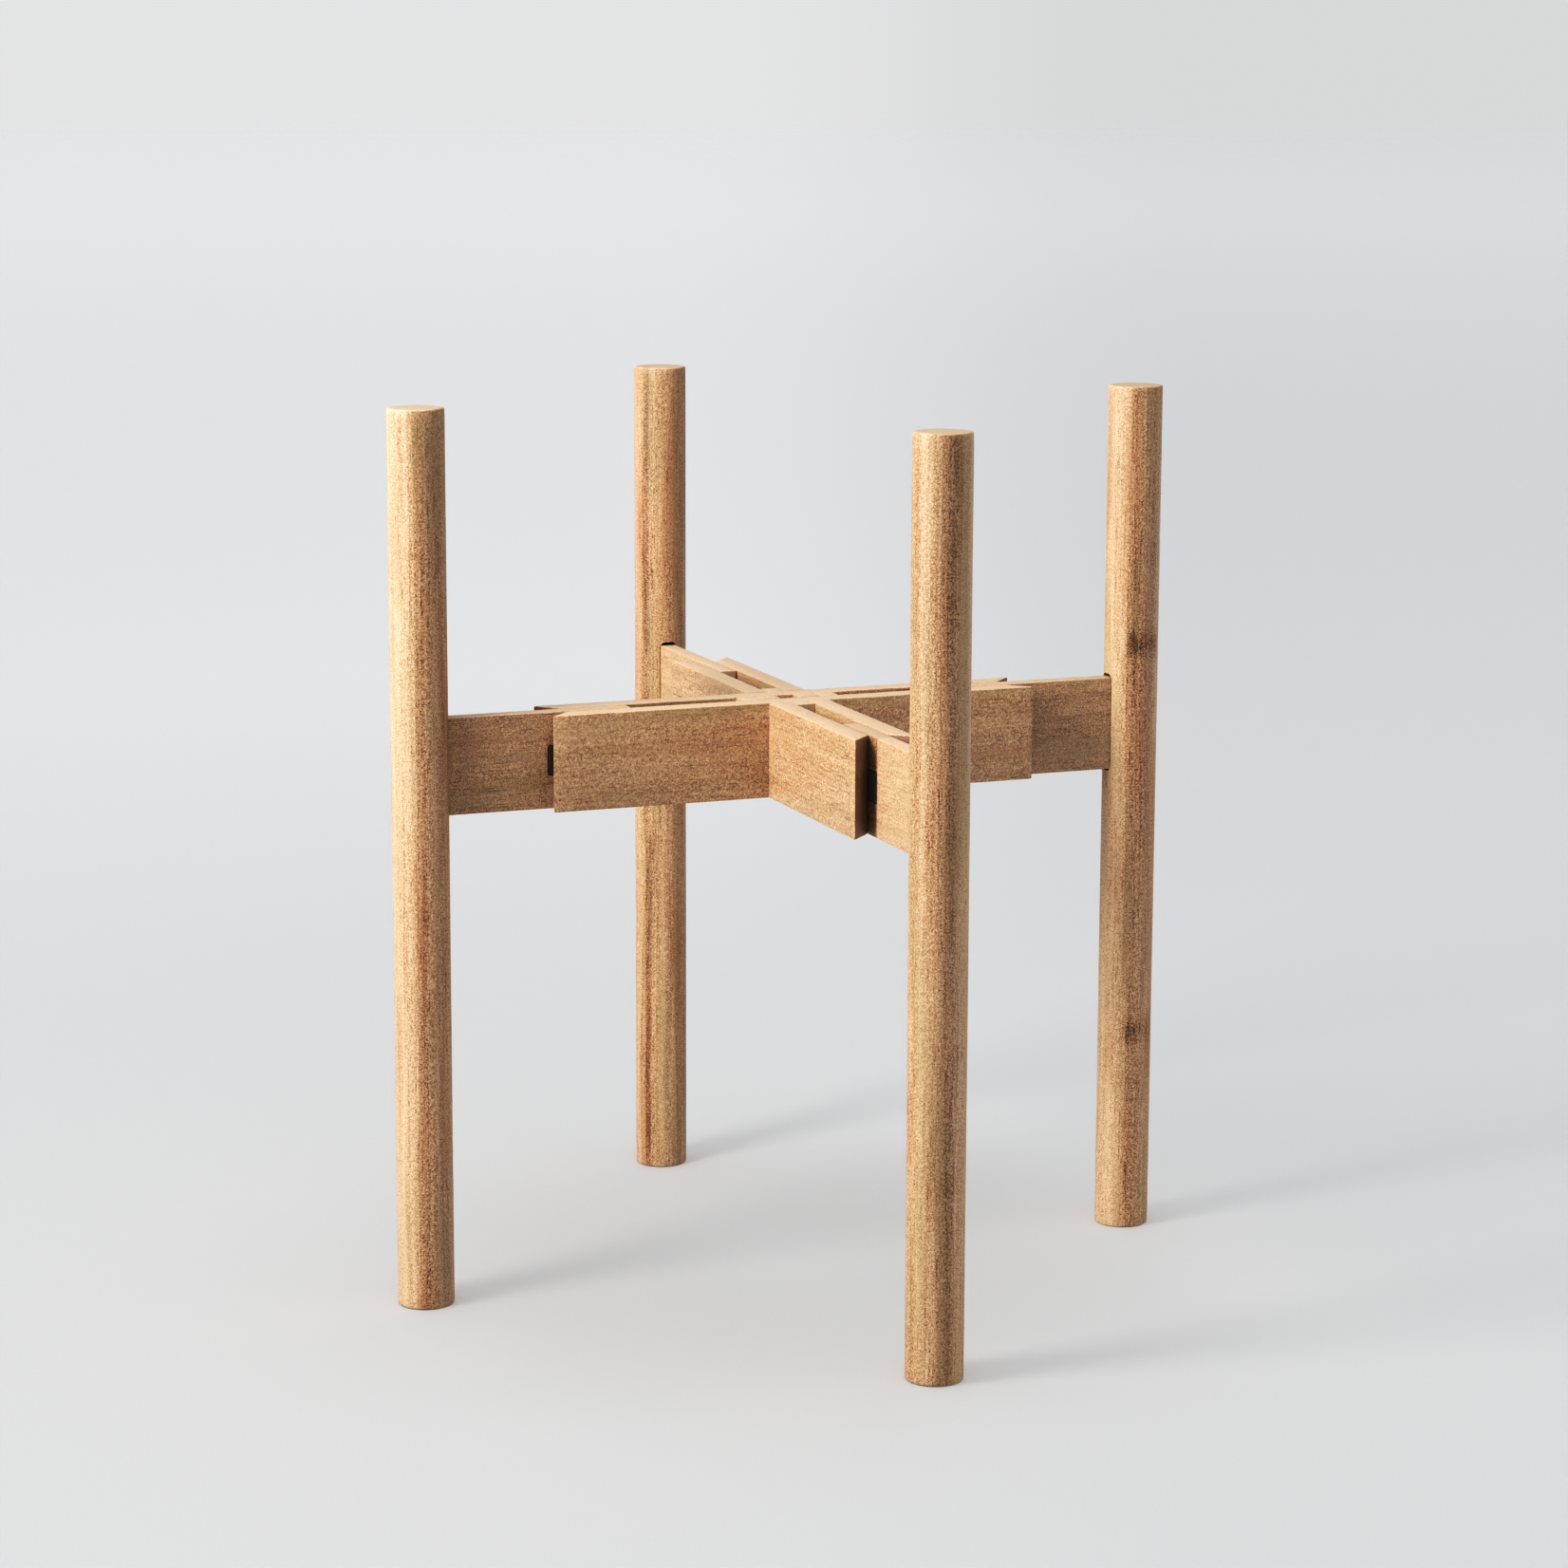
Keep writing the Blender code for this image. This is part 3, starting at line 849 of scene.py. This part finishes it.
KEY_PLACE = (-0.80, -0.17, 0.70)
KEY_TARGET = (0, 0, 0.2)
KEY_TINT = (1.0, 0.98, 0.95)
FILL_TARGET = (0, 0, 0.05)
FILL_TINT = (1, 1, 1)
SKY_TINT = (0.97, 0.985, 1.0)
SKY_SPREAD = math.radians(70)
WORLD_TINT = colour(0.990, 0.992, 1.0)

# The view's contrast: each linear tone, and the one that it becomes
VIEW_CURVE = ((0.1, 0.035), (0.2, 0.10), (0.35, 0.26), (0.5, 0.455), (0.737, 0.737))


def make_floor():
    """A sheet of pale paper that runs on to the horizon, where it meets a world of its own tone."""
    bm = bmesh.new()
    bmesh.ops.create_circle(bm, cap_ends=True, segments=96, radius=FLOOR_RADIUS)
    floor = new_object("floor", bm, Matrix.Identity(4))
    floor.data.materials.append(paper_material("floor_paper"))
    return floor


def soft_box(name, tint, place, target, power, size):
    """An oval area light, (wide, high), that shines from a place on a target."""
    data = bpy.data.lights.new(name, "AREA")
    data.shape = "ELLIPSE"
    data.size, data.size_y = size
    data.energy = power
    data.color = tint
    light = bpy.data.objects.new(name, data)
    light.location = place
    light.rotation_mode = "QUATERNION"
    light.rotation_quaternion = (Vector(place) - Vector(target)).to_track_quat("Z", "Y")
    light.visible_camera = False
    bpy.context.scene.collection.objects.link(light)
    return light


def overhead_sun(name, energy):
    """A very soft, slightly cool light from straight above."""
    data = bpy.data.lights.new(name, "SUN")
    data.angle = SKY_SPREAD
    data.energy = energy
    data.color = SKY_TINT
    sun = bpy.data.objects.new(name, data)
    bpy.context.scene.collection.objects.link(sun)
    return sun


def soften_fading(light, falloff_kind):
    """Makes a light fade less with distance: Linear for half as fast, Constant for not at all."""
    light.data.use_nodes = True
    tree = light.data.node_tree
    falloff = tree.nodes.new("ShaderNodeLightFalloff")
    falloff.inputs["Strength"].default_value = 1.0
    tree.links.new(falloff.outputs[falloff_kind], tree.nodes["Emission"].inputs["Strength"])


def light_only(light, receiver, state):
    """Links a light so that it reaches only the receiver (INCLUDE), or all but it (EXCLUDE)."""
    linked = bpy.data.collections.new(light.name + "_receivers")
    linked.objects.link(receiver)
    linked.collection_objects[0].light_linking.link_state = state
    light.light_linking.receiver_collection = linked


def make_lights(floor):
    """A strip light near the stand's left, faint fills on the stand, and a broad overhead light.
    The floor has a strip and an overhead of its own, and its overhead casts no shadow there."""
    from_left = (KEY_TINT, KEY_PLACE, KEY_TARGET)
    key = soft_box("key", *from_left, power=14.5, size=(0.30, 0.60))
    soften_fading(key, "Linear")
    light_only(key, floor, "EXCLUDE")
    floor_key = soft_box("floor_key", *from_left, power=2.9, size=(0.33, 0.60))
    soften_fading(floor_key, "Constant")
    light_only(floor_key, floor, "INCLUDE")
    far_place = (1.3, 0.35, 0.05)
    far_fill = soft_box("far_fill", FILL_TINT, far_place, FILL_TARGET, power=0.8, size=(1.0, 0.4))
    light_only(far_fill, floor, "EXCLUDE")
    near_place = (0.25, -0.35, 0.02)
    near_fill = soft_box("near_fill", FILL_TINT, near_place, FILL_TARGET, power=0.2, size=(0.3, 0.06))
    light_only(near_fill, floor, "EXCLUDE")
    light_only(overhead_sun("overhead", energy=3.1), floor, "EXCLUDE")
    floor_overhead = overhead_sun("floor_overhead", energy=3.05)
    floor_overhead.data.use_shadow = False
    light_only(floor_overhead, floor, "INCLUDE")


def make_world():
    """Pale at the horizon, a little less so on the right, and dim above."""
    world = bpy.data.worlds.new("studio")
    bpy.context.scene.world = world
    g = Graph(world)
    direction = g.node("TexCoord", {}).outputs["Generated"]
    horizon = g.ease(g.side_fade(direction, 0.6), 0.0, 1.0, *HORIZON_LIGHT)
    rise = g.ease(g.split(direction)[2], 0.02, 0.25)
    drop = g.math("MULTIPLY", rise, g.math("SUBTRACT", OVERHEAD_LIGHT, horizon))
    strength = g.math("ADD", horizon, drop)
    background = g.node("Background", {"Color": WORLD_TINT, "Strength": strength})
    g.node("OutputWorld", {"Surface": background.outputs[0]})


def set_contrast():
    """A plain view with a little more contrast in the darker tones."""
    view = bpy.context.scene.view_settings
    view.view_transform = "Standard"
    view.use_curve_mapping = True
    curve = view.curve_mapping.curves[3]
    for light, shown in VIEW_CURVE:
        curve.points.new(light, shown)
    view.curve_mapping.update()


def make_camera():
    """The viewpoint: a long lens a little above the stand, looking down at it from its front left."""
    data = bpy.data.cameras.new("camera")
    data.lens = LENS
    data.sensor_width = SENSOR
    data.shift_y = SHIFT
    data.clip_end = FLOOR_RADIUS + 10
    camera = bpy.data.objects.new("camera", data)
    heading = Matrix.Rotation(math.radians(-VIEW_HEADING), 4, "Z")
    tilt = Matrix.Rotation(math.radians(90 - VIEW_DOWN), 4, "X")
    roll = Matrix.Rotation(math.radians(VIEW_ROLL), 4, "Z")
    camera.matrix_world = Matrix.Translation(VIEWER) @ heading @ tilt @ roll
    bpy.context.scene.collection.objects.link(camera)
    bpy.context.scene.camera = camera


make_lights(make_floor())
make_world()
make_camera()
set_contrast()
